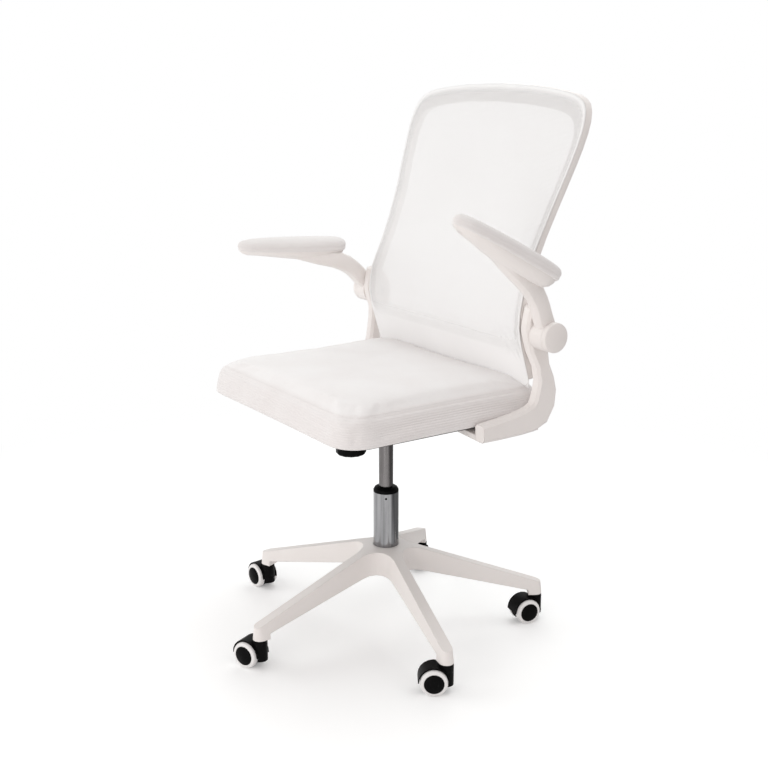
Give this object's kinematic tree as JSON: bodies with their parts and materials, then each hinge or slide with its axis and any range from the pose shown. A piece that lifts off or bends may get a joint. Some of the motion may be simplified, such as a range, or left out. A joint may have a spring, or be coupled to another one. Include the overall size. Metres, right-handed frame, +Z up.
{
  "type": "task chair",
  "caption": "White swivel task chair: padded seat, curved mesh back, flip-up padded arms, gas lift and tilt, on a star base with twin-wheel casters.",
  "frame": {"origin": "on the floor, at the middle of the chair's width and length", "axes": "+Z up, -Y the way the sitter faces, +X to the sitter's left"},
  "size_m": [0.6944, 0.6248, 1.0563],
  "materials": {
    "white_nylon": "satin moulded",
    "white_tread": "matt",
    "black_nylon": "satin moulded",
    "chrome": "polished",
    "grey_cylinder": "satin grey",
    "plain_steel": "zinc plated",
    "seat_board": "black stained",
    "white_fabric": "woven",
    "white_mesh": "open knit"
  },
  "bodies": {
    "base": {"star_base": "white_nylon", "lift_tube": "chrome", "lift_bush": "black_nylon", "caster_stem_1": "plain_steel", "caster_stem_2": "plain_steel", "caster_stem_3": "plain_steel", "caster_stem_4": "plain_steel", "caster_stem_5": "plain_steel"},
    "caster_1": {"caster_hood_1": "black_nylon"},
    "wheel_1a": {"wheel_hub_1a": "black_nylon", "tyre_1a": "white_tread"},
    "wheel_1b": {"wheel_hub_1b": "black_nylon", "tyre_1b": "white_tread"},
    "caster_2": {"caster_hood_2": "black_nylon"},
    "wheel_2a": {"wheel_hub_2a": "black_nylon", "tyre_2a": "white_tread"},
    "wheel_2b": {"wheel_hub_2b": "black_nylon", "tyre_2b": "white_tread"},
    "caster_3": {"caster_hood_3": "black_nylon"},
    "wheel_3a": {"wheel_hub_3a": "black_nylon", "tyre_3a": "white_tread"},
    "wheel_3b": {"wheel_hub_3b": "black_nylon", "tyre_3b": "white_tread"},
    "caster_4": {"caster_hood_4": "black_nylon"},
    "wheel_4a": {"wheel_hub_4a": "black_nylon", "tyre_4a": "white_tread"},
    "wheel_4b": {"wheel_hub_4b": "black_nylon", "tyre_4b": "white_tread"},
    "caster_5": {"caster_hood_5": "black_nylon"},
    "wheel_5a": {"wheel_hub_5a": "black_nylon", "tyre_5a": "white_tread"},
    "wheel_5b": {"wheel_hub_5b": "black_nylon", "tyre_5b": "white_tread"},
    "lift_spindle": {"lift_bearing": "plain_steel", "piston_rod": "plain_steel"},
    "lift": {"lift_cylinder": "grey_cylinder", "tilt_housing": "black_nylon", "tilt_axle": "plain_steel", "tension_spring": "plain_steel"},
    "valve": {"valve_button": "plain_steel"},
    "lever": {"lift_lever": "plain_steel", "lever_paddle": "black_nylon"},
    "seat": {"seat_plate": "black_nylon", "tension_bolt": "plain_steel", "seat_pan": "seat_board", "seat_cushion": "white_fabric", "side_bracket_left": "white_nylon", "side_bracket_right": "white_nylon", "back_frame": "white_nylon", "back_mesh": "white_mesh", "arm_pin_left": "plain_steel", "arm_pin_right": "plain_steel"},
    "cup": {"spring_cup": "plain_steel"},
    "knob": {"tension_knob": "black_nylon"},
    "arm_left": {"arm_left": "white_nylon", "arm_pad_left": "white_fabric", "arm_cap_left": "white_nylon"},
    "arm_right": {"arm_right": "white_nylon", "arm_pad_right": "white_fabric", "arm_cap_right": "white_nylon"}
  },
  "joints": [
    {"name": "caster_swivel_1", "type": "hinge", "parent": "base", "child": "caster_1", "pos_m": [-0.27861, -0.08961, 0.055], "axis": [0, 0, 1], "continuous": true},
    {"name": "wheel_spin_1a", "type": "hinge", "parent": "caster_1", "child": "wheel_1a", "pos_m": [-0.30098, -0.09196, 0.025], "axis": [0.1045, -0.9945, 0], "continuous": true},
    {"name": "wheel_spin_1b", "type": "hinge", "parent": "caster_1", "child": "wheel_1b", "pos_m": [-0.30098, -0.09196, 0.025], "axis": [0.1045, -0.9945, 0], "continuous": true},
    {"name": "caster_swivel_2", "type": "hinge", "parent": "base", "child": "caster_2", "pos_m": [0.02474, -0.27405, 0.055], "axis": [0, 0, 1], "continuous": true},
    {"name": "wheel_spin_2a", "type": "hinge", "parent": "caster_2", "child": "wheel_2a", "pos_m": [0.00419, -0.2832, 0.025], "axis": [0.4067, -0.9135, 0], "continuous": true},
    {"name": "wheel_spin_2b", "type": "hinge", "parent": "caster_2", "child": "wheel_2b", "pos_m": [0.00419, -0.2832, 0.025], "axis": [0.4067, -0.9135, 0], "continuous": true},
    {"name": "caster_swivel_3", "type": "hinge", "parent": "base", "child": "caster_3", "pos_m": [0.2939, -0.04254, 0.055], "axis": [0, 0, 1], "continuous": true},
    {"name": "wheel_spin_3a", "type": "hinge", "parent": "caster_3", "child": "wheel_3a", "pos_m": [0.28132, -0.06119, 0.025], "axis": [0.829, -0.5592, 0], "continuous": true},
    {"name": "wheel_spin_3b", "type": "hinge", "parent": "caster_3", "child": "wheel_3b", "pos_m": [0.28132, -0.06119, 0.025], "axis": [0.829, -0.5592, 0], "continuous": true},
    {"name": "caster_swivel_4", "type": "hinge", "parent": "base", "child": "caster_4", "pos_m": [0.1569, 0.28498, 0.055], "axis": [0, 0, 1], "continuous": true},
    {"name": "wheel_spin_4a", "type": "hinge", "parent": "caster_4", "child": "wheel_4a", "pos_m": [0.15183, 0.26306, 0.025], "axis": [0.9744, -0.225, 0], "continuous": true},
    {"name": "wheel_spin_4b", "type": "hinge", "parent": "caster_4", "child": "wheel_4b", "pos_m": [0.15183, 0.26306, 0.025], "axis": [0.9744, -0.225, 0], "continuous": true},
    {"name": "caster_swivel_5", "type": "hinge", "parent": "base", "child": "caster_5", "pos_m": [-0.19693, 0.25589, 0.055], "axis": [0, 0, 1], "continuous": true},
    {"name": "wheel_spin_5a", "type": "hinge", "parent": "caster_5", "child": "wheel_5a", "pos_m": [-0.18102, 0.23998, 0.025], "axis": [0.7071, 0.7071, 0], "continuous": true},
    {"name": "wheel_spin_5b", "type": "hinge", "parent": "caster_5", "child": "wheel_5b", "pos_m": [-0.18102, 0.23998, 0.025], "axis": [0.7071, 0.7071, 0], "continuous": true},
    {"name": "seat_swivel", "type": "hinge", "parent": "base", "child": "lift_spindle", "pos_m": [0, 0.02694, 0.1255], "axis": [0, 0, 1], "continuous": true},
    {"name": "lift_travel", "type": "slide", "parent": "lift_spindle", "child": "lift", "axis": [0, 0, 1], "range_m": [-0.07, 0.02]},
    {"name": "lever_pull", "type": "hinge", "parent": "lift", "child": "lever", "pos_m": [-0.043, 0.02694, 0.4246], "axis": [0, 1, 0], "range_deg": [0, 5.5], "stiffness_Nm_per_rad": 6, "springref_deg": -11.46},
    {"name": "valve_press", "type": "slide", "parent": "lift", "child": "valve", "axis": [0, 0, -1], "range_m": [0, 0.0045]},
    {"name": "seat_tilt", "type": "hinge", "parent": "lift", "child": "seat", "pos_m": [0, -0.00456, 0.4218], "axis": [-1, 0, 0], "range_deg": [0, 12], "stiffness_Nm_per_rad": 90, "springref_deg": -28.65, "deforming": ["tension_spring"]},
    {"name": "cup_slide", "type": "slide", "parent": "seat", "child": "cup", "axis": [0, 0, 1], "range_m": [-0.003, 0.003], "deforming": ["tension_spring"]},
    {"name": "knob_turn", "type": "hinge", "parent": "cup", "child": "knob", "pos_m": [0, -0.05406, 0.3728], "axis": [0, 0, 1], "range_deg": [-545, 545]},
    {"name": "arm_flip_left", "type": "hinge", "parent": "seat", "child": "arm_left", "pos_m": [0, 0.17894, 0.626], "axis": [-1, 0, 0], "range_deg": [-27.5, 57.5]},
    {"name": "arm_flip_right", "type": "hinge", "parent": "seat", "child": "arm_right", "pos_m": [0, 0.17894, 0.626], "axis": [-1, 0, 0], "range_deg": [-3, 82]}
  ],
  "couplings": [
    {"joint": "valve_press", "follows": "lever_pull", "m_per_rad": 0.046},
    {"joint": "knob_turn", "follows": "cup_slide", "rad_per_m": 3141.6}
  ]
}
